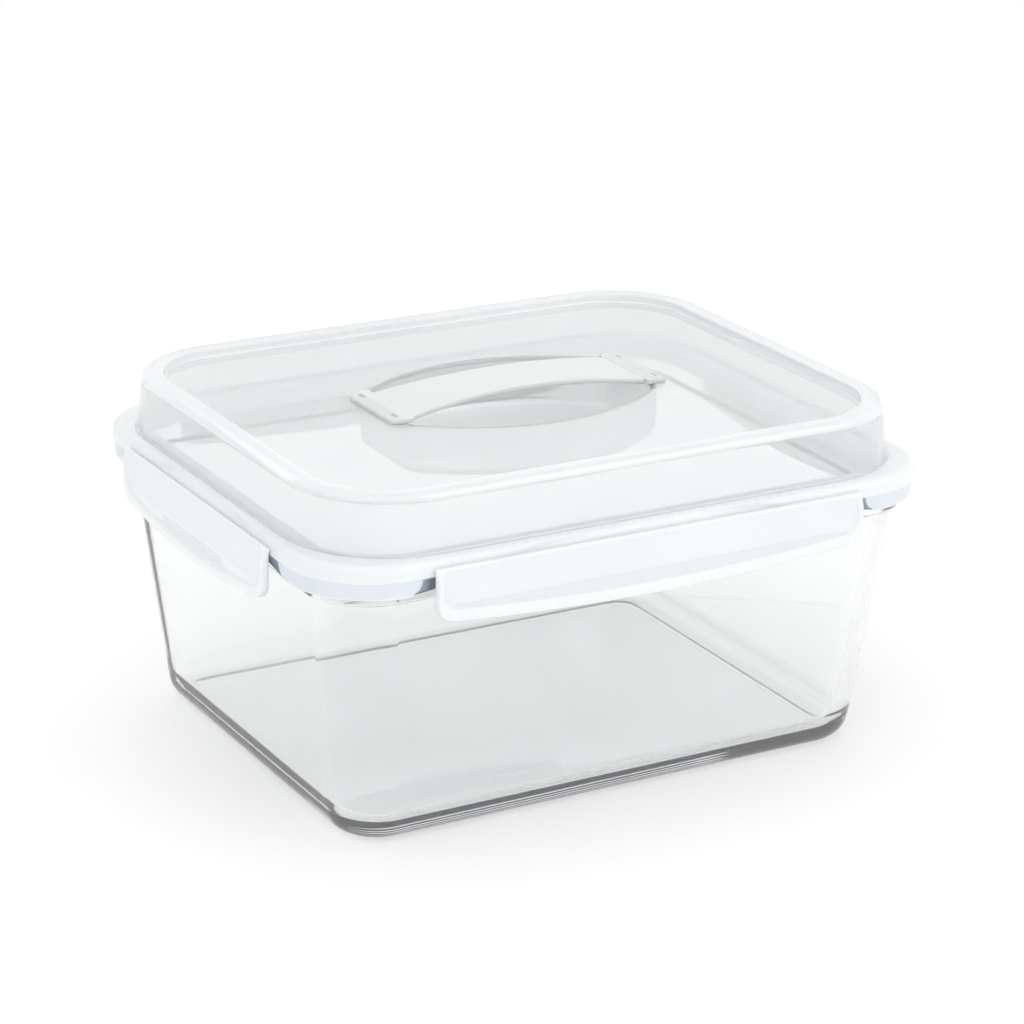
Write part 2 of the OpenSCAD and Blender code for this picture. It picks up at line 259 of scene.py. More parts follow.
def makePolypropylene(finish):
    # injection-moulded polypropylene: soft gloss and slow flow marks. The relief is slow waves on the
    # clear finishes and a mould grain on the milky ones, drawn about ten times too coarse so that it shows.
    material, tree = newMaterial(finish["name"])
    coords = addNode(tree, "ShaderNodeTexCoord").outputs["Object"]
    flow = addNode(tree, "ShaderNodeTexNoise", {"Scale": 1000 / finish["flowMm"], "Detail": plastic["flowDetail"],
                                                "Distortion": plastic["flowBend"]},
                   {"Vector": coords}).outputs["Fac"]
    grain = addNode(tree, "ShaderNodeTexNoise",
                    {"Scale": 1000 / finish["grainMm"], "Detail": plastic["grainDetail"]},
                    {"Vector": coords}).outputs["Fac"]
    colour = addNode(tree, "ShaderNodeMix", {"A": srgb(finish["shade"]), "B": srgb(finish["colour"])},
                     {"Factor": flow}, data_type="RGBA").outputs["Result"]
    # painted shade: the thin wall turns greyer below the rib line, standing in for the darker inside seen through it
    if "low" in finish:
        height = addNode(tree, "ShaderNodeSeparateXYZ", links={0: coords}).outputs["Z"]
        abovePaintedShade = addNode(tree, "ShaderNodeMapRange", {"From Min": hingeZ + finish["lowFrom"] * mm,
                                                     "From Max": hingeZ + finish["lowTo"] * mm},
                        {"Value": height}).outputs["Result"]
        colour = addNode(tree, "ShaderNodeMix", {"A": srgb(finish["low"])}, {"Factor": abovePaintedShade, "B": colour},
                         data_type="RGBA").outputs["Result"]
    low, high = finish["rough"]
    rough = addNode(tree, "ShaderNodeMapRange", {"To Min": low, "To Max": high}, {"Value": flow})
    bump = addNode(tree, "ShaderNodeBump",
                   {"Strength": plastic["grainStrength"], "Distance": finish["grainDepthMm"] * mm},
                   {"Height": grain})
    surface = addNode(tree, "ShaderNodeBsdfPrincipled",
                      {"IOR": plastic["ior"], "Transmission Weight": finish["see"]},
                      {"Base Color": colour, "Roughness": rough.outputs["Result"],
                       "Normal": bump.outputs["Normal"]})
    addNode(tree, "ShaderNodeOutputMaterial", links={"Surface": surface.outputs["BSDF"]})
    return material


sealFinish = {"colour": "#F4F6F6", "dust": "#EBEEEF", "see": 0.2, "ior": 1.41, "rough": (0.4, 0.55),
              "dustMm": 6, "dustDetail": 4.0}


def makeSilicone():
    # translucent silicone rubber, moulded: soft and matt with a little dust in it
    material, tree = newMaterial("mouldedSilicone")
    coords = addNode(tree, "ShaderNodeTexCoord").outputs["Object"]
    dust = addNode(tree, "ShaderNodeTexNoise",
                   {"Scale": 1000 / sealFinish["dustMm"], "Detail": sealFinish["dustDetail"]},
                   {"Vector": coords}).outputs["Fac"]
    colour = addNode(tree, "ShaderNodeMix", {"A": srgb(sealFinish["dust"]), "B": srgb(sealFinish["colour"])},
                     {"Factor": dust}, data_type="RGBA")
    low, high = sealFinish["rough"]
    rough = addNode(tree, "ShaderNodeMapRange", {"To Min": low, "To Max": high}, {"Value": dust})
    surface = addNode(tree, "ShaderNodeBsdfPrincipled",
                      {"IOR": sealFinish["ior"], "Transmission Weight": sealFinish["see"]},
                      {"Base Color": colour.outputs["Result"], "Roughness": rough.outputs["Result"]})
    addNode(tree, "ShaderNodeOutputMaterial", links={"Surface": surface.outputs["BSDF"]})
    return material


pressedGlass = makePressedGlass()
clearLid = makePolypropylene(lidFinish)
frostedFlange = makePolypropylene(flangeFinish)
hazyRim = makePolypropylene(rimFinish)
milkyStrap = makePolypropylene(strapFinish)
milkyLatch = makePolypropylene(latchFinish)
thinWall = makePolypropylene(thinFinish)
skirtPaintedShade = makePolypropylene(skirtPaintedShadeFinish)
silicone = makeSilicone()
print("materials made")


# glass tub: rounded rectangles stacked from the middle of the underside to the middle of the floor

tub = {
    "lipOut": 2, "lean": 14.4, "wall": 5, "base": 8, "heel": 12, "innerHeel": 9.5,
    "topCorner": 27, "baseCorner": 22.5,                        # corner radius of the outside
    "lipH": 13.5, "lipRound": 1.2, "lipLift": 0.3, "lipFrom": -75, "topRound": 1.3,
    "punt": 0.7, "puntIn": 6, "footIn": 2, "footLift": 0.1,     # the hollow underneath and the ring it leaves
    "neckLow": 1.4, "neckOut": 0.25, "neckDown": 0.5,           # the wall eases out under the lip
    "floorIn": 8, "innerEnd": 2,
    "heelSteps": 10, "cornerSteps": 28, "wallSteps": 5, "innerSteps": 16, "lipSteps": 4, "topSteps": 5,
    "cornerExtra": 2.5, "extraFrom": 125, "extraTo": 100,       # the inside turns wider than the outside
    "sharp": 50,
}


def tubRings():
    height = tubHigh.z
    slope = tub["lean"] / height
    lean = math.degrees(math.atan(slope))
    heelShare = math.tan(math.radians(90 - lean) / 2)
    rings = []                           # (inset from the lip's edge, corner radius, height)

    def wallIn(z):                       # how far the outside stands in from the lip at a height
        return tub["lipOut"] + slope * (height - z)

    def add(inset, z, extra=0):
        corner = tub["baseCorner"] + (tub["topCorner"] - tub["baseCorner"]) * z / height
        rings.append((inset, corner - (inset - wallIn(z)) + extra, z))

    def addArc(centre, radius, start, end, steps, extra=0):
        for out, z in arc(centre, radius, start, end, steps):
            add(-out, z, extra)

    foot = wallIn(0) + tub["heel"] * heelShare
    rings.append((tubHigh.y, 0, tub["punt"]))
    add(foot + tub["puntIn"], tub["punt"])
    add(foot + tub["footIn"], tub["footLift"])
    addArc((-foot, tub["heel"]), tub["heel"], -90, -lean, tub["heelSteps"])
    lipZ = height - tub["lipH"]
    for step in range(1, tub["wallSteps"] + 1):
        z = tub["heel"] + (lipZ - tub["neckLow"] - tub["heel"]) * step / tub["wallSteps"]
        add(wallIn(z), z)
    add(wallIn(lipZ) - tub["neckOut"], lipZ - tub["neckDown"])
    lip, top = tub["lipRound"], tub["topRound"]
    addArc((-lip, lipZ + lip + tub["lipLift"]), lip, tub["lipFrom"], 0, tub["lipSteps"])
    addArc((-top, height - top), top, 0, 90, tub["topSteps"])
    innerTop = tub["lipOut"] + tub["wall"]
    addArc((-innerTop + top, height - top), top, 90, 180, tub["topSteps"])
    innerFoot = wallIn(tub["base"]) + tub["wall"] + tub["innerHeel"] * heelShare
    floorHeel = tub["base"] + tub["innerHeel"]
    start, end = height - 2 * top, floorHeel + tub["innerEnd"]
    for step in range(1, tub["innerSteps"] + 1):
        z = start + (end - start) * step / tub["innerSteps"]
        share = min(1.0, max(0.0, (tub["extraFrom"] - z) / (tub["extraFrom"] - tub["extraTo"])))
        add(wallIn(z) + tub["wall"], z, tub["cornerExtra"] * smooth(share))
    addArc((-innerFoot, floorHeel), tub["innerHeel"], -lean, -90, tub["heelSteps"], tub["cornerExtra"])
    add(innerFoot + tub["floorIn"], tub["base"], tub["cornerExtra"])
    rings.append((tubHigh.y, 0, tub["base"]))
    return rings


def stackTree():
    # geometry nodes: one rounded rectangle for each point of the input, skinned into a wall
    tree = newGeometryTree("stackedRoundedBox", (("Geometry", "Geometry"), ("Corner Steps", "Int"),
                                                 ("Material", "Material")))
    given = addNode(tree, "NodeGroupInput")
    source = given.outputs["Geometry"]
    steps = given.outputs["Corner Steps"]
    sums = "ShaderNodeMath"
    ringCount = addNode(tree, "GeometryNodeAttributeDomainSize", links={"Geometry": source}).outputs["Point Count"]
    perCorner = addNode(tree, sums, {1: 1}, {0: steps}, operation="ADD").outputs[0]
    around = addNode(tree, sums, {1: 4, 2: 1}, {0: perCorner}, operation="MULTIPLY_ADD").outputs[0]
    grid = addNode(tree, "GeometryNodeMeshGrid", links={"Vertices X": ringCount, "Vertices Y": around})

    # the index of a point gives its ring, its corner and its step in that corner
    rest = addNode(tree, "GeometryNodeInputIndex").outputs[0]
    wholes = []
    for size in (around, perCorner):
        centred = addNode(tree, sums, {1: 0.5}, {0: rest}, operation="ADD").outputs[0]
        share = addNode(tree, sums, links={0: centred, 1: size}, operation="DIVIDE").outputs[0]
        wholes.append(addNode(tree, sums, links={0: share}, operation="FLOOR").outputs[0])
        before = addNode(tree, sums, links={0: wholes[-1], 1: size}, operation="MULTIPLY").outputs[0]
        rest = addNode(tree, sums, links={0: rest, 1: before}, operation="SUBTRACT").outputs[0]
    ring, corner = wholes
    quarter = math.pi / 2
    partTurn = addNode(tree, sums, links={0: rest, 1: steps}, operation="DIVIDE").outputs[0]
    turned = addNode(tree, sums, links={0: corner, 1: partTurn}, operation="ADD").outputs[0]
    angle = addNode(tree, sums, {1: quarter}, {0: turned}, operation="MULTIPLY").outputs[0]
    halfway = addNode(tree, sums, {1: 0.5}, {0: corner}, operation="ADD").outputs[0]
    middle = addNode(tree, sums, {1: quarter}, {0: halfway}, operation="MULTIPLY").outputs[0]

    held = {}                            # what each ring says, by name
    for name in ("halfLength", "halfWidth", "cornerRadius", "height"):
        value = addNode(tree, "GeometryNodeInputNamedAttribute", {"Name": name}, data_type="FLOAT").outputs[0]
        held[name] = addNode(tree, "GeometryNodeSampleIndex",
                             links={"Geometry": source, "Value": value, "Index": ring}).outputs["Value"]
    radius = held["cornerRadius"]
    places = []
    for name, turn in (("halfLength", "COSINE"), ("halfWidth", "SINE")):
        facing = addNode(tree, sums, links={0: middle}, operation=turn).outputs[0]
        side = addNode(tree, sums, links={0: facing}, operation="SIGN").outputs[0]
        inner = addNode(tree, sums, links={0: held[name], 1: radius}, operation="SUBTRACT").outputs[0]
        core = addNode(tree, sums, links={0: side, 1: inner}, operation="MULTIPLY").outputs[0]
        swing = addNode(tree, sums, links={0: angle}, operation=turn).outputs[0]
        places.append(addNode(tree, sums, links={0: radius, 1: swing, 2: core},
                              operation="MULTIPLY_ADD").outputs[0])
    place = addNode(tree, "ShaderNodeCombineXYZ", links={0: places[0], 1: places[1], 2: held["height"]})
    moved = addNode(tree, "GeometryNodeSetPosition",
                    links={"Geometry": grid.outputs["Mesh"], "Position": place.outputs[0]})
    closed = addNode(tree, "GeometryNodeMergeByDistance", {"Distance": meshing["weld"]},
                     {"Geometry": moved.outputs[0]})
    real = addNode(tree, "GeometryNodeRealizeInstances", links={"Geometry": closed.outputs[0]})
    dressed = addNode(tree, "GeometryNodeSetMaterial",
                      links={"Geometry": real.outputs[0], "Material": given.outputs["Material"]})
    addNode(tree, "NodeGroupOutput", links={"Geometry": dressed.outputs[0]})
    return tree


def makeTub():
    rings = tubRings()
    obj = meshObject("glassTub", [(0, 0, z) for inset, radius, z in rings])
    table = {"halfLength": [tubHigh.x - inset for inset, radius, z in rings],
             "halfWidth": [tubHigh.y - inset for inset, radius, z in rings],
             "cornerRadius": [radius for inset, radius, z in rings],
             "height": [z for inset, radius, z in rings]}
    for name, values in table.items():
        layer = obj.data.attributes.new(name, "FLOAT", "POINT")
        layer.data.foreach_set("value", [v * mm for v in values])
    runTree(obj, stackTree(), {"Corner Steps": tub["cornerSteps"], "Material": pressedGlass})
    tidyMesh(obj.data, tub["sharp"])
    weightNormals(obj)
    return obj


glassTub = makeTub()
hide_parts("glass_tub")
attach(glassTub, "tub")
glassTub.visible_shadow = False          # lamps shine through the clear pieces
print("glass tub", len(glassTub.data.polygons), "faces")


# lid shell: one skin from the middle of the cup's floor over dome and flange and back underneath

lid = {
    "tubCorner": 30, "flangeOut": 8.2, "flangeTop": 135, "flangeRound": 4, "wall": 2.2,
    "domeOut": 1.6, "domeCorner": 48, "domeLean": 2, "domeFoot": 0.1,
    "rimW": 10.3, "rimStep": 3.6, "rimRound": 3.2, "rimEnd": 5, "edgeRound": 0.9, "footRound": 1.6,
    "channelOut": 31.5, "channelTop": 132, "channelWall": 2, "plugOut": 24.2, "plugLow": 126, "chamfer": 0.5,
    "cupHalfL": 62.3, "cupHalfW": 47, "cupHalfEnd": 22, "cupCorner": 8, "cupDepth": 22.4, "cupRound": 2.5,
    "cupFlat": 0.8, "mouthRound": 1.6, "mouthOut": 4, "panelIn": 6, "underRound": 1.2, "underLap": 0.05,
    "gapPast": 4.5, "bandZ": 127.5, "bandRound": 0.6, "bandTuck": 1.1,
    "skirtRound": 6, "skirtStep": 1, "tipLess": 0.1, "gapEase": 0.1,
    "evenSteps": (0.0, 0.3, 0.55, 0.75, 0.88),                  # stations along half a side, as shares
    "skirtSteps": (-0.6, -0.15, 0.0, 0.12, 0.45, 1.0, 1.9, 3.1, 4.4),     # and past the end of a latch gap
    "cornerSteps": 24, "flatShare": 0.6,     # a long flat beside each corner keeps its normals flat
    "bandSteps": 3, "fineSteps": 4, "roundSteps": 5, "rimSteps": 6, "flangeSteps": 7,
}
lidTop = lidHigh.z
panelZ = lidTop - lid["rimStep"]
cupFloorZ = panelZ - lid["cupDepth"]
flangeR = lid["tubCorner"] + lid["flangeOut"]
tubCore = (lidHigh.x - flangeR, lidHigh.y - flangeR)
domeSide = lid["tubCorner"] + lid["domeOut"] - lid["domeCorner"]
domeCore = (tubCore[0] + domeSide, tubCore[1] + domeSide)
latchNodes = ("right_latch", "rear_latch", "left_latch", "front_latch")    # by side, a quarter turn apart


def latchLength(side):
    low, high = boxMm(latchNodes[side])
    return (high - low)[1 - side % 2]


gapHalves = [latchLength(side) / 2 + lid["gapPast"] for side in range(4)]


def lidStations():
    # (side, share along the straight, turn in degrees, even share): the same count for every ring
    found = []
    for side in range(4):
        run = tubCore[1 - side % 2]
        half = list(lid["evenSteps"]) + [(gapHalves[side] + t) / run for t in lid["skirtSteps"]] + [1.0]
        shares = [-s for s in reversed(half[1:])] + half
        last = len(shares) - 1
        found += [(side, share, 0.0, 2 * k / last - 1) for k, share in enumerate(shares)]
        found += [(side, None, 90 * k / lid["cornerSteps"], None) for k in range(1, lid["cornerSteps"])]
    return found


stations = lidStations()


def sideAxes(side):
    angle = math.radians(90 * side)
    return Vector((math.cos(angle), math.sin(angle), 0)), Vector((-math.sin(angle), math.cos(angle), 0))


def boxRing(core, radius, z):
    # rounded rectangle; a function for z keeps the stations at the ends of the latch gaps
    ring = []
    for side, share, turn, even in stations:
        out, along = sideAxes(side)
        far, run = (core[0], core[1]) if side % 2 == 0 else (core[1], core[0])
        if share is not None and not callable(z):
            share = even if abs(even) == 1 else even * lid["flatShare"]
        if share is None:
            a = math.radians(turn)
            spot = out * (far + radius * math.cos(a)) + along * (run + radius * math.sin(a))
        else:
            spot = out * (far + radius) + along * (share * run)
        ring.append((spot.x, spot.y, z(side, share, turn) if callable(z) else z))
    return ring


cupSag = lid["cupHalfW"] - lid["cupHalfEnd"]
cupArc = (lid["cupHalfL"] ** 2 + cupSag ** 2) / (2 * cupSag)
cupArcY = lid["cupHalfW"] - cupArc
cupCornerX = lid["cupHalfL"] - lid["cupCorner"]
cupCornerY = cupArcY + math.sqrt((cupArc - lid["cupCorner"]) ** 2 - cupCornerX ** 2)
cupCornerTurn = math.degrees(math.atan2(cupCornerY - cupArcY, cupCornerX))


def cupRing(grow, z, scale=1.0):
    # lens with two straight ends, offset by grow
    ring = []
    for side, share, turn, even in stations:
        out, along = sideAxes(side)
        if side % 2 == 0 and share is not None:
            spot = out * (lid["cupHalfL"] + grow) + along * (even * cupCornerY)
        elif share is not None:
            a = math.radians(even * (90 - cupCornerTurn))
            spot = out * (cupArcY + (cupArc + grow) * math.cos(a)) + along * ((cupArc + grow) * math.sin(a))
        else:
            start = 0 if side % 2 == 0 else 90 - cupCornerTurn
            a = math.radians(start + turn / 90 * cupCornerTurn)
            x, y = (cupCornerX, cupCornerY) if side % 2 == 0 else (cupCornerY, cupCornerX)
            r = lid["cupCorner"] + grow
            spot = out * (x + r * math.cos(a)) + along * (y + r * math.sin(a))
        ring.append((spot.x * scale, spot.y * scale, z))
    return ring


def skirtLow(lift):
    # lower edge of the flange: a short band above the latches, longer skirts at the corners
    def height(side, share, turn):
        if share is not None:
            past = abs(share) * tubCore[1 - side % 2] - gapHalves[side]
        else:
            after = (side + 1) % 4
            past = min(tubCore[1 - side % 2] - gapHalves[side] + flangeR * math.radians(turn),
                       tubCore[1 - after % 2] - gapHalves[after] + flangeR * math.radians(90 - turn))
        if past < -lid["gapEase"]:
            return lid["bandZ"] - lid["bandTuck"] + lift
        ahead = max(0.0, 1 - past / lid["skirtRound"])
        return lidLow.z + lid["skirtRound"] * (1 - math.sqrt(1 - ahead ** 2)) + lift
    return height


def makeLid():
    wall, soft, foot, mouth = lid["wall"], lid["edgeRound"], lid["footRound"], lid["mouthRound"]
    cupR, rimR, flangeSoft, band = lid["cupRound"], lid["rimRound"], lid["flangeRound"], lid["bandRound"]
    fine, some, more = lid["fineSteps"], lid["roundSteps"], lid["rimSteps"]
    domeTopR = lid["domeCorner"] - lid["domeLean"]
    rimIn = domeTopR - lid["rimW"]
    flangeZ = lid["flangeTop"]
    rings = [[(0, 0, cupFloorZ)], cupRing(-cupR, cupFloorZ, lid["cupFlat"])]

    def addCup(points):
        rings.extend(cupRing(out, z) for out, z in points)

    def addBox(core, points):
        rings.extend(boxRing(core, out, z) for out, z in points)

    addCup(arc((-cupR, cupFloorZ + cupR), cupR, -90, 0, some))
    addCup(arc((mouth, panelZ - mouth), mouth, 180, 90, more))
    addCup([(lid["mouthOut"], panelZ)])
    addBox(domeCore, [(rimIn - lid["panelIn"], panelZ)])
    rimFrom = len(rings)
    addBox(domeCore, arc((rimIn - soft, panelZ + soft), soft, -90, 0, fine))
    addBox(domeCore, arc((rimIn + soft, lidTop - soft), soft, 180, 90, fine))
    addBox(domeCore, arc((domeTopR - rimR, lidTop - rimR), rimR, 90, lid["rimEnd"], more))
    rimTo = len(rings) - 1
    domeFootR = lid["domeCorner"] - lid["domeFoot"] + foot
    addBox(domeCore, arc((domeFootR, flangeZ + foot), foot, 180, 270, some))
    frostFrom = len(rings) - 1
    addBox(tubCore, arc((flangeR - flangeSoft, flangeZ - flangeSoft), flangeSoft, 90, 0, lid["flangeSteps"]))
    addBox(tubCore, arc((flangeR - band, lid["bandZ"] + band), band, 0, -90, lid["bandSteps"]))
    skirtR = flangeR - lid["skirtStep"]
    addBox(tubCore, [(skirtR, lid["bandZ"])])
    skirtFrom = len(rings) - 1
    tip = wall / 2 - lid["tipLess"]
    for out, z in (arc((skirtR - tip, tip), tip, 0, -90, fine)
                   + arc((skirtR - wall + tip, tip), tip, -90, -180, fine)):
        rings.append(boxRing(tubCore, out, skirtLow(z)))

    # underneath: flange, seal channel, plug wall, then the inside of dome, rim and cup
    under, bevel = flangeZ - wall, lid["chamfer"]
    channelLow = lid["channelTop"] - lid["channelWall"]
    plugIn = lid["plugOut"] - wall
    addBox(tubCore, [(skirtR - wall, under), (lid["channelOut"] + wall, under),
                     (lid["channelOut"] + wall, channelLow), (lid["channelOut"], channelLow),
                     (lid["channelOut"], lid["channelTop"]), (lid["plugOut"], lid["channelTop"]),
                     (lid["plugOut"], lid["plugLow"] + bevel), (lid["plugOut"] - bevel, lid["plugLow"]),
                     (plugIn + bevel, lid["plugLow"]), (plugIn, lid["plugLow"] + bevel),
                     (plugIn, flangeZ - wall / 2)])
    addBox(domeCore, [(lid["domeCorner"] - wall, flangeZ - wall / 2 + lid["underLap"])])
    frostTo = len(rings) - 1
    shift = lid["underRound"]
    addBox(domeCore, [(out - shift, z - shift) for out, z in
                      arc((domeTopR - rimR, lidTop - rimR), rimR - wall + shift, 0, 90, fine)])
    addBox(domeCore, [(rimIn + wall, lidTop - wall), (rimIn + wall, panelZ - wall),
                      (rimIn - lid["panelIn"], panelZ - wall)])
    addCup([(wall + lid["mouthOut"], panelZ - wall), (wall, panelZ - wall)])
    addCup(arc((-cupR, cupFloorZ + cupR), cupR + wall, 0, -90, some))
    rings.append(cupRing(-cupR, cupFloorZ - wall, lid["cupFlat"]))
    rings.append([(0, 0, cupFloorZ - wall)])
    finishes = [1 if frostFrom <= i < frostTo else 2 if rimFrom <= i < rimTo else 0 for i in range(len(rings))]
    # the skirt's outer face takes the painted-shade finish; its rounded lower edge keeps the frosted white
    finishes[skirtFrom] = 3
    obj = loft("lidShell", rings, finishes)
    weightNormals(obj)
    return obj


lidShell = makeLid()
for finish in (clearLid, frostedFlange, hazyRim, skirtPaintedShade):
    lidShell.data.materials.append(finish)
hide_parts("lid_shell")
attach(lidShell, "lid")
lidShell.visible_shadow = False
print("lid shell", len(lidShell.data.polygons), "faces")


# seal: a two-lipped section swept round the channel

seal = {"plugGap": 1.0, "groove": 1.0, "lipShare": 0.25, "round": 0.35, "cornerSteps": 24}


def sweepTree():
    # geometry nodes: a section curve follows a rounded rectangle
    tree = newGeometryTree("sweptSeal", (("Section", "Geometry"), ("Length", "Float"), ("Width", "Float"),
                                         ("Corner Radius", "Float"), ("Corner Steps", "Int"),
                                         ("Material", "Material")))
    given = addNode(tree, "NodeGroupInput")
    outline = addNode(tree, "GeometryNodeCurvePrimitiveQuadrilateral",
                      links={"Width": given.outputs["Length"], "Height": given.outputs["Width"]})
    path = addNode(tree, "GeometryNodeFilletCurve",
                   links={"Curve": outline.outputs[0], "Radius": given.outputs["Corner Radius"],
                          "Count": given.outputs["Corner Steps"]}, mode="POLY")
    section = addNode(tree, "GeometryNodeMeshToCurve", links={"Mesh": given.outputs["Section"]})
    swept = addNode(tree, "GeometryNodeCurveToMesh",
                    links={"Curve": path.outputs[0], "Profile Curve": section.outputs[0]})
    real = addNode(tree, "GeometryNodeRealizeInstances", links={"Geometry": swept.outputs[0]})
    dressed = addNode(tree, "GeometryNodeSetMaterial",
                      links={"Geometry": real.outputs[0], "Material": given.outputs["Material"]})
    addNode(tree, "NodeGroupOutput", links={"Geometry": dressed.outputs[0]})
    return tree


def makeSeal():
    outR = sealHigh.x - tubCore[0]
    inR = lid["plugOut"] + seal["plugGap"]
    high = sealHigh.z - sealLow.z
    mid, half = (outR + inR) / 2, (outR - inR) / 2
    lip, soft = half * seal["lipShare"], seal["round"]
    profile = [(-half, soft), (-half + soft, 0), (-lip - soft, 0), (-lip, soft), (0, seal["groove"]),
               (lip, soft), (lip + soft, 0), (half - soft, 0), (half, soft),
               (half, high - soft), (half - soft, high), (-half + soft, high), (-half, high - soft)]
    count = len(profile)
    obj = meshObject("lidSeal", [(x, z, 0) for x, z in profile],
                     edges=[(i, (i + 1) % count) for i in range(count)])
    runTree(obj, sweepTree(), {"Length": 2 * (tubCore[0] + mid) * mm, "Width": 2 * (tubCore[1] + mid) * mm,
                               "Corner Radius": mid * mm, "Corner Steps": seal["cornerSteps"],
                               "Material": silicone})
    lowest = min(v.co.z for v in obj.data.vertices)
    obj.data.transform(Matrix.Translation((0, 0, sealLow.z * mm - lowest)))
    tidyMesh(obj.data)
    return obj


lidSeal = makeSeal()
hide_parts("lid_seal")
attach(lidSeal, "lid")
print("seal", len(lidSeal.data.polygons), "faces", [round(v / mm, 2) for v in lidSeal.dimensions])


# carrying strap: an arched, waisted band that ends in a flat bar at each side

strap = {
    "waist": 31, "endW": 38, "thick": 3, "rise": 5.6, "edgeRound": 1.2, "halfL": 62, "steps": 40,
    "barIn": 59.8, "barH": 2.7, "barFlat": 65.2, "flatEase": 0.4, "barToe": 1.7, "barRound": 0.9, "barCorner": 3,
    "barSteps": (0, 0.05, 0.15, 0.35, 0.6, 0.9, 1.4, 2.1, 3.0, 4.0),    # stations in from the bar's outer edge
    "barEnd": 0.5, "barShrink": 0.3, "bandLap": 0.25, "roundLimit": 2.2, "roundSteps": 4,
    "slotL": 5.5, "slotW": 1.5, "slotDeep": 0.8, "slotX": 66.4, "slotY": 15.5, "slotOver": 1, "slotSteps": 10,
}


def sectionRing(x, halfW, low, high, soft):
    # rounded rectangle across the strap
    ring = []
    for cy, cz, start in ((halfW - soft, high - soft, 0), (-halfW + soft, high - soft, 90),
                          (-halfW + soft, low + soft, 180), (halfW - soft, low + soft, 270)):
        ring += [(x, y, z) for y, z in arc((cy, cz), soft, start, start + 90, strap["roundSteps"])]
    return ring


def barFall(x):
    # share of the way from the flat top of a bar down to its toe
    return max(0.0, (abs(x) - strap["barFlat"]) / (strapHigh.x - strap["barFlat"]))


def makeStrap():
    end = strapHigh.x
    soft, corner = strap["barRound"], strap["barCorner"]
    rings = []

    def bar(x, shrink=0.0):
        # flat on top, then down to a low toe with rounded corners
        inward = end - abs(x)
        half = strapHigh.y - corner + math.sqrt(corner ** 2 - max(0.0, corner - inward) ** 2)
        lost = soft - math.sqrt(soft ** 2 - max(0.0, soft - inward) ** 2)
        high = panelZ + strap["barH"] + (strap["barToe"] - strap["barH"]) * barFall(x) - lost - shrink
        turn = min(soft, (high - panelZ) / strap["roundLimit"])
        rings.append(sectionRing(x, half - lost - shrink, panelZ, high, turn))

    def band(x):
        share = (x / strap["halfL"]) ** 2
        top = strapHigh.z - strap["rise"] * share
        halfW = strap["waist"] / 2 + (strap["endW"] - strap["waist"]) / 2 * share
        rings.append(sectionRing(x, halfW, top - strap["thick"], top, strap["edgeRound"]))

    outer = [end - d for d in strap["barSteps"]]
    outer += [strap["barFlat"] + strap["flatEase"], strap["barFlat"] - strap["flatEase"],
              strap["barIn"] + strap["barEnd"]]
    middle = panelZ + (strap["barToe"] - soft) / 2
    rings.append([(-end, 0, middle)])
    for x in outer:
        bar(-x)
    bar(-strap["barIn"], strap["barShrink"])
    for k in range(strap["steps"] + 1):
        band((strap["barIn"] - strap["bandLap"]) * (2 * k / strap["steps"] - 1))
    bar(strap["barIn"], strap["barShrink"])
    for x in reversed(outer):
        bar(x)
    rings.append([(end, 0, middle)])
    obj = loft("carryStrap", rings)
    cutSlots(obj, panelZ + strap["barH"])
    weightNormals(obj)
    return obj


def cutSlots(obj, top):
    # a short slot near each end of both bars
    half, run = strap["slotW"] / 2, strap["slotL"] / 2 - strap["slotW"] / 2
    outline = [(x, run + y) for x, y in arc((0, 0), half, 0, 180, strap["slotSteps"])]
    outline += [(x, y - run) for x, y in arc((0, 0), half, 180, 360, strap["slotSteps"])]
    floor = top - (strap["barH"] - strap["barToe"]) * barFall(strap["slotX"]) - strap["slotDeep"]
    over = top + strap["slotOver"]
    cutter = loft("slotCutter", [[(0, 0, floor)], [(x, y, floor) for x, y in outline],
                                 [(x, y, over) for x, y in outline], [(0, 0, over)]])
    for sx in (-1, 1):
        for sy in (-1, 1):
            cutter.location = Vector((sx * strap["slotX"], sy * strap["slotY"], 0)) * mm
            bpy.context.view_layer.update()
            cut = obj.modifiers.new("slot", "BOOLEAN")
            cut.operation = "DIFFERENCE"
            cut.object = cutter
            bakeModifiers(obj)
    bpy.data.objects.remove(cutter)
    tidyMesh(obj.data)


carryStrap = makeStrap()
carryStrap.data.materials.append(milkyStrap)
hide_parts("carry_strap")
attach(carryStrap, "lid")
print("strap", len(carryStrap.data.polygons), "faces")


# latch wings: a bowed flap with a raised border, a rolled hinge edge and a catch rib inside

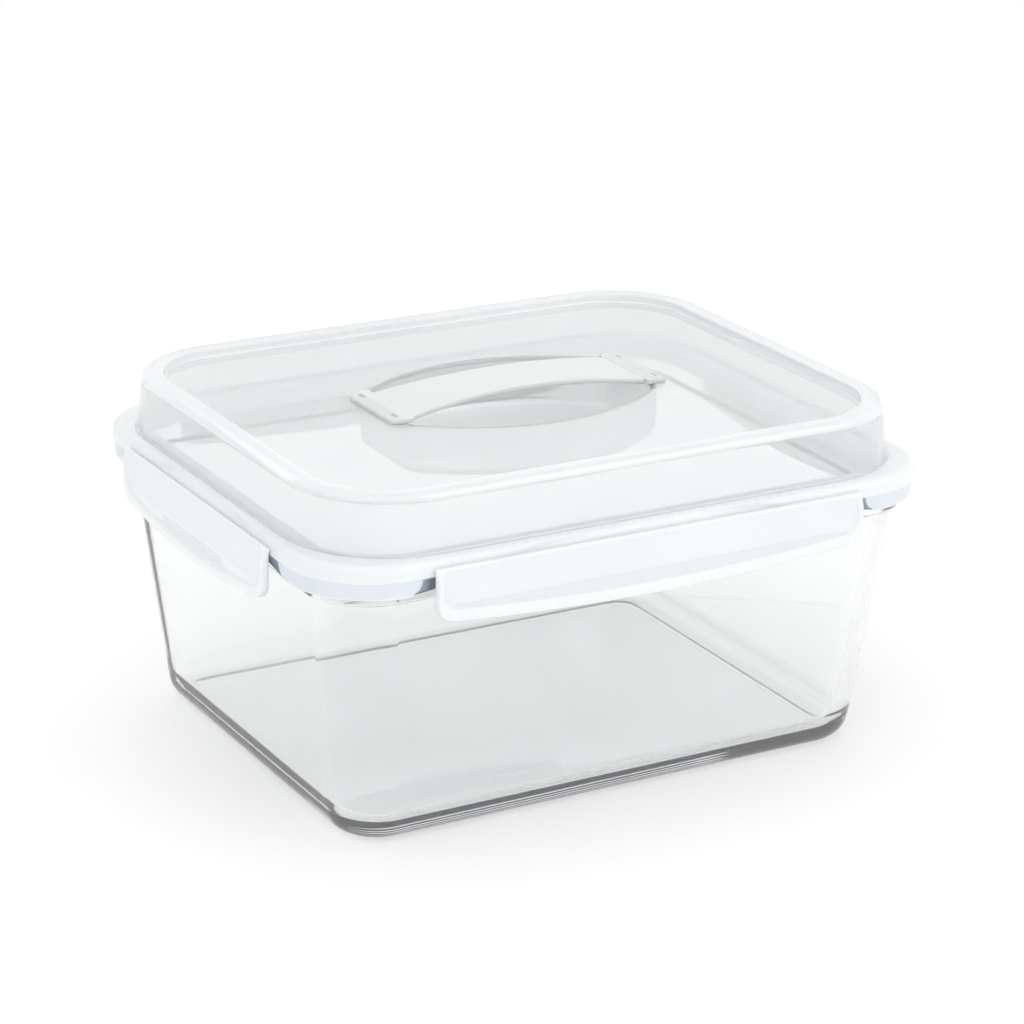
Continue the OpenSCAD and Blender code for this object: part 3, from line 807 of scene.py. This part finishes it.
latch = {
    "roll": 1.5, "thick": 2.5, "longDrop": 26.2, "longBow": 5.0, "sideDrop": 27.6, "sideBow": 6.4,
    "corner": 8, "lipOut": 1.2, "lipH": 4.5, "borderW": 2.8, "borderTop": 3, "borderEase": 0.55, "edgeRound": 0.7,
    "ribTop": -15.0, "ribT": 1.5, "ribTip": -7.7, "ribTaper": 8, "blockL": 34, "blockH": 5, "blockT": 3,
    "endShare": 0.1,                        # the flat that is left at both ends
    "sinkDeep": 0.3, "sinkEase": 0.35, "sinkBlock": 0.6,      # the face sinks a little over the rib and the blocks
    "faceFrom": 0.3, "showFrom": 0.3,
    "endSteps": (0, 0.05, 0.15, 0.3, 0.5, 0.7, 1.0, 1.4, 2.0, 2.4, 2.8, 3.2, 3.7, 4.4, 5.4, 6.6, 7.85, 8.15, 9.5, 12),
    "edgeSteps": (0, 0.05, 0.15, 0.3, 0.5, 0.7, 1.5, 2.4, 3.3, 3.8, 4.15, 4.5, 4.85, 5.2, 5.8),
    "blockSteps": (0.35, 0.05, -0.05, -0.35), "ribSteps": (0.35, -0.35), "innerColumns": 12,
    "rowsBelow": 4, "rowsAbove": 6, "rowGap": 0.2, "rollSteps": 14, "rollFlat": 0.4,
    "backEdge": 7, "backClear": 1.6, "backGap": 0.15,
    "backRows": (("blockLow", -0.25, 0, 0), ("blockLow", 0, 0, 0.85), ("blockLow", 0.2, 0, 1),
                 ("ribLow", -0.05, 0, 1), ("ribLow", 0, 0.95, 1), ("ribLow", 0.3, 1, 1),
                 ("ribTop", -0.3, 1, 1), ("ribTop", -0.05, 0.95, 1), ("ribTop", 0, 0, 0)),
}                                           # back rows: level, height over it, share of the rib, share of the block


def wingEdge(half, drop, bow):
    # lower edge of a wing and the distance of a point inside it
    bowR = (half ** 2 + bow ** 2) / (2 * bow)
    bowZ = bowR - drop
    cornerX = half - latch["corner"]
    cornerZ = bowZ - math.sqrt((bowR - latch["corner"]) ** 2 - cornerX ** 2)
    touchX = cornerX * bowR / (bowR - latch["corner"])

    def low(y):
        y = min(abs(y), half)
        if y > touchX:
            return cornerZ - math.sqrt(max(0.0, latch["corner"] ** 2 - (y - cornerX) ** 2))
        return bowZ - math.sqrt(bowR ** 2 - y ** 2)

    def inside(y, z):
        y = abs(y)
        if z < cornerZ and (y - cornerX) * (bowZ - cornerZ) > (cornerZ - z) * cornerX:
            return latch["corner"] - math.hypot(y - cornerX, z - cornerZ)
        return min(half - y, bowR - math.hypot(y, z - bowZ))
    return low, inside


def makeLatch(name, length, kind):
    half = length / 2
    drop, bow = latch[kind + "Drop"], latch[kind + "Bow"]
    low, inside = wingEdge(half, drop, bow)
    innerInside = wingEdge(half - latch["borderW"], drop - latch["lipH"], bow)[1]
    face, back = latch["roll"], latch["roll"] - latch["thick"]
    middle = (face + back) / 2
    soft, ease, border = latch["edgeRound"], latch["sinkEase"], latch["borderEase"]
    ribEnd = half - latch["corner"]
    blockIn = ribEnd - latch["blockL"]
    levels = {"blockLow": latch["ribTop"] - latch["blockH"], "ribLow": latch["ribTop"] - latch["ribT"],
              "ribTop": latch["ribTop"]}
    blockLow, ribLow, ribTop = levels.values()
    grooveZ = [level + d for level in levels.values() for d in (-ease, 0, ease)]

    ends = [half - e for e in latch["endSteps"]]
    inner = [ends[-1] * k / latch["innerColumns"] for k in range(latch["innerColumns"] - 1, 0, -1)]
    near = [blockIn + d for d in latch["blockSteps"]] + [ribEnd + d for d in latch["ribSteps"]]
    right = sorted(set(round(y, 3) for y in ends + inner + near), reverse=True)
    columns = [-y for y in right] + [0.0] + list(reversed(right))

    def fullness(y, z):                  # share of the full thickness near the outline
        if abs(y) >= half:
            return latch["endShare"]
        d = min(inside(y, z), half - abs(y))
        return math.sqrt(max(0.0, 1 - (1 - min(max(d, 0.0), soft) / soft) ** 2))

    def sunk(y, z):                      # share of the sink mark's depth
        inRib = easeStep(z - ribLow, ease) * easeStep(ribTop - z, ease)
        inBlock = easeStep(z - blockLow, ease) * easeStep(ribLow - z, ease) * easeStep(abs(y) - blockIn, ease)
        return max(inRib, inBlock * latch["sinkBlock"]) * easeStep(ribEnd - abs(y), ease)

    def frontX(y, z):
        raised = easeStep(-innerInside(y, z), border)
        if abs(y) > half - latch["borderW"] - border or z < -latch["borderTop"]:
            raised *= easeStep(-latch["borderTop"] - z, border)
        return face + latch["lipOut"] * raised - latch["sinkDeep"] * sunk(y, z)

    def backX(y, rib, block):
        out = back
        if blockIn <= abs(y) <= ribEnd:
            out = back - latch["blockT"] * block
        if abs(y) <= ribEnd:             # the rib runs out towards its ends
            full = min(1.0, (ribEnd - abs(y)) / latch["ribTaper"])
            out = min(out, back + (latch["ribTip"] - back) * rib * full)
        return out

    def frontHeights(edge):
        found = [edge + d for d in latch["edgeSteps"]]
        top = found[-1]
        groove = [max(z, top + latch["rowGap"] * (k + 1)) for k, z in enumerate(grooveZ)]
        found += [top + (groove[0] - top) * k / latch["rowsBelow"] for k in range(1, latch["rowsBelow"])]
        found += groove
        return found + [groove[-1] * (1 - k / latch["rowsAbove"]) for k in range(1, latch["rowsAbove"] + 1)]

    rollStart = 180 + math.degrees(math.asin(math.sqrt(1 - (back / face) ** 2)))
    roll = arc((0, 0), face, rollStart, 0, latch["rollSteps"])[:-1]
    rings = [[(middle, -half, low(half) / 2)]]
    for y in columns:
        edge = low(y)
        points = [(frontX(y, z), z) for z in reversed(frontHeights(edge))]
        points += [(back, edge + d) for d in latch["edgeSteps"][1:latch["backEdge"]]]
        for k, (level, over, rib, block) in enumerate(latch["backRows"]):
            z = max(levels[level] + over, edge + latch["backClear"] + latch["backGap"] * k)
            points.append((backX(y, rib, block), z))
        ring = [(middle + (x - middle) * fullness(y, z), y, z) for x, z in points]
        share = fullness(y, -latch["corner"])
        flat = latch["rollFlat"]
        ring += [(middle + (x - middle) * share, y, z * (flat + (1 - flat) * share)) for x, z in roll]
        rings.append(ring)
    rings.append([(middle, half, low(half) / 2)])
    obj = loft(name, rings)
    for polygon in obj.data.polygons:
        spot = polygon.center / mm
        thin = innerInside(spot.y, spot.z) > border
        if kind == "side" and sunk(spot.y, spot.z) > latch["showFrom"]:
            thin = False                 # rib and blocks show through as whiter plastic
        polygon.material_index = int(polygon.normal.x > latch["faceFrom"] and thin)
    return obj


for side, node in enumerate(latchNodes):
    piece = makeLatch(node.split("_")[0] + "Latch", latchLength(side), "long" if side % 2 else "side")
    turn = Matrix.Rotation(math.radians(90 * side), 4, "Z")    # made at the origin, turned to its side of the lid
    piece.data.transform(Matrix.Translation(hinges[node]) @ turn)
    weightNormals(piece)
    for finish in (milkyLatch, thinWall):
        piece.data.materials.append(finish)
    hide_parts(node)
    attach(piece, node)
    print(piece.name, len(piece.data.polygons), "faces")


# floor, light and camera

studio = {
    "floorSize": 12000, "floorColour": "#FFFFFF", "floorRough": 0.9, "whiteFrom": 420, "whiteTo": 900,
    "ambient": 0.87, "background": 1.0, "through": 0.36,
    "behindCamera": 0.4, "roomFrom": 0.1, "roomTo": 0.8,        # the room greys between these cosines
    "keyPlace": (900, -1500, 1500), "keySize": 1200, "keyPower": 11.5,
    "fillPlace": (-1500, -500, 1100), "fillSize": 1400, "fillPower": 4.8,
    "topPlace": (100, 500, 1900), "topSize": 1500, "topPower": 2,
    "lampAim": (0, 0, 80),
}
camera = {"eye": (-694.5, -1225.9, 605.1), "azimuth": -29.613, "elevation": 19.765, "roll": 0.864,
          "lens": 115.57, "sensor": 36, "farM": 100}


def makeFloor():
    # lit white near the object, plain white farther out
    half = studio["floorSize"] / 2
    floor = meshObject("floor", [(-half, -half, 0), (half, -half, 0), (half, half, 0), (-half, half, 0)],
                       [(0, 1, 2, 3)])
    material, tree = newMaterial("paleFloor")
    coords = addNode(tree, "ShaderNodeTexCoord").outputs["Object"]
    far = addNode(tree, "ShaderNodeVectorMath", links={0: coords}, operation="LENGTH")
    share = addNode(tree, "ShaderNodeMapRange",
                    {"From Min": studio["whiteFrom"] * mm, "From Max": studio["whiteTo"] * mm},
                    {"Value": far.outputs["Value"]}, interpolation_type="SMOOTHSTEP")
    lit = addNode(tree, "ShaderNodeBsdfPrincipled",
                  {"Base Color": srgb(studio["floorColour"]), "Roughness": studio["floorRough"],
                   "Specular IOR Level": 0.0})
    plain = addNode(tree, "ShaderNodeEmission", {"Color": srgb(studio["floorColour"]), "Strength": 1.0})
    both = addNode(tree, "ShaderNodeMixShader", links={0: share.outputs["Result"], 1: lit.outputs["BSDF"],
                                                       2: plain.outputs["Emission"]})
    addNode(tree, "ShaderNodeOutputMaterial", links={"Surface": both.outputs["Shader"]})
    floor.data.materials.append(material)


def cameraBack():
    az, el = math.radians(camera["azimuth"]), math.radians(camera["elevation"])
    return Vector((math.sin(az) * math.cos(el), -math.cos(az) * math.cos(el), math.sin(el)))


def makeWorld():
    # white round the object; clear parts also see a greyer room behind the camera, which draws their edges
    world = bpy.data.worlds.new("whiteStudio")
    world.use_nodes = True
    tree = world.node_tree
    tree.nodes.clear()
    rays = addNode(tree, "ShaderNodeLightPath")
    coords = addNode(tree, "ShaderNodeTexCoord").outputs["Generated"]
    facing = addNode(tree, "ShaderNodeVectorMath", {1: cameraBack()}, {0: coords}, operation="DOT_PRODUCT")
    room = addNode(tree, "ShaderNodeMapRange",
                   {"From Min": studio["roomFrom"], "From Max": studio["roomTo"],
                    "To Min": studio["background"], "To Max": studio["behindCamera"]},
                   {"Value": facing.outputs["Value"]})
    bent = addNode(tree, "ShaderNodeMath", links={0: rays.outputs["Is Glossy Ray"],
                                                  1: rays.outputs["Is Transmission Ray"]}, operation="MAXIMUM")
    litPath = addNode(tree, "ShaderNodeMath", {1: 0.5}, {0: rays.outputs["Diffuse Depth"]},
                      operation="GREATER_THAN")
    clear = addNode(tree, "ShaderNodeMix", {"B": studio["through"]},
                    {"Factor": litPath.outputs[0], "A": room.outputs["Result"]})
    level = addNode(tree, "ShaderNodeMix", {"A": studio["ambient"]},
                    {"Factor": bent.outputs[0], "B": clear.outputs["Result"]})
    seen = addNode(tree, "ShaderNodeMix", {"B": studio["background"]},
                   {"Factor": rays.outputs["Is Camera Ray"], "A": level.outputs["Result"]})
    light = addNode(tree, "ShaderNodeBackground", {"Color": (1, 1, 1, 1)}, {"Strength": seen.outputs["Result"]})
    addNode(tree, "ShaderNodeOutputWorld", links={"Surface": light.outputs["Background"]})
    bpy.context.scene.world = world


def makeLamp(name):
    lamp = bpy.data.lights.new(name, "AREA")
    lamp.shape = "SQUARE"
    lamp.size = studio[name + "Size"] * mm
    lamp.energy = studio[name + "Power"]
    obj = bpy.data.objects.new(name + "Lamp", lamp)
    bpy.context.scene.collection.objects.link(obj)
    obj.location = Vector(studio[name + "Place"]) * mm
    aim = Vector(studio["lampAim"]) * mm - obj.location
    obj.rotation_euler = aim.to_track_quat("-Z", "Y").to_euler()


def makeCamera():
    roll = math.radians(camera["roll"])
    back = cameraBack()
    flat = Vector((0, 0, 1)).cross(back).normalized()
    level = back.cross(flat)
    right = flat * math.cos(roll) + level * math.sin(roll)
    up = level * math.cos(roll) - flat * math.sin(roll)
    data = bpy.data.cameras.new("photoCamera")
    data.lens = camera["lens"]
    data.sensor_width = camera["sensor"]
    data.clip_end = camera["farM"]
    obj = bpy.data.objects.new("photoCamera", data)
    bpy.context.scene.collection.objects.link(obj)
    turn = Matrix((right, up, back)).transposed().to_4x4()
    obj.matrix_world = Matrix.Translation(Vector(camera["eye"]) * mm) @ turn
    bpy.context.scene.camera = obj


makeFloor()
makeWorld()
for lampName in ("key", "fill", "top"):
    makeLamp(lampName)
makeCamera()
bpy.context.scene.view_settings.view_transform = "Standard"
print("studio ready")
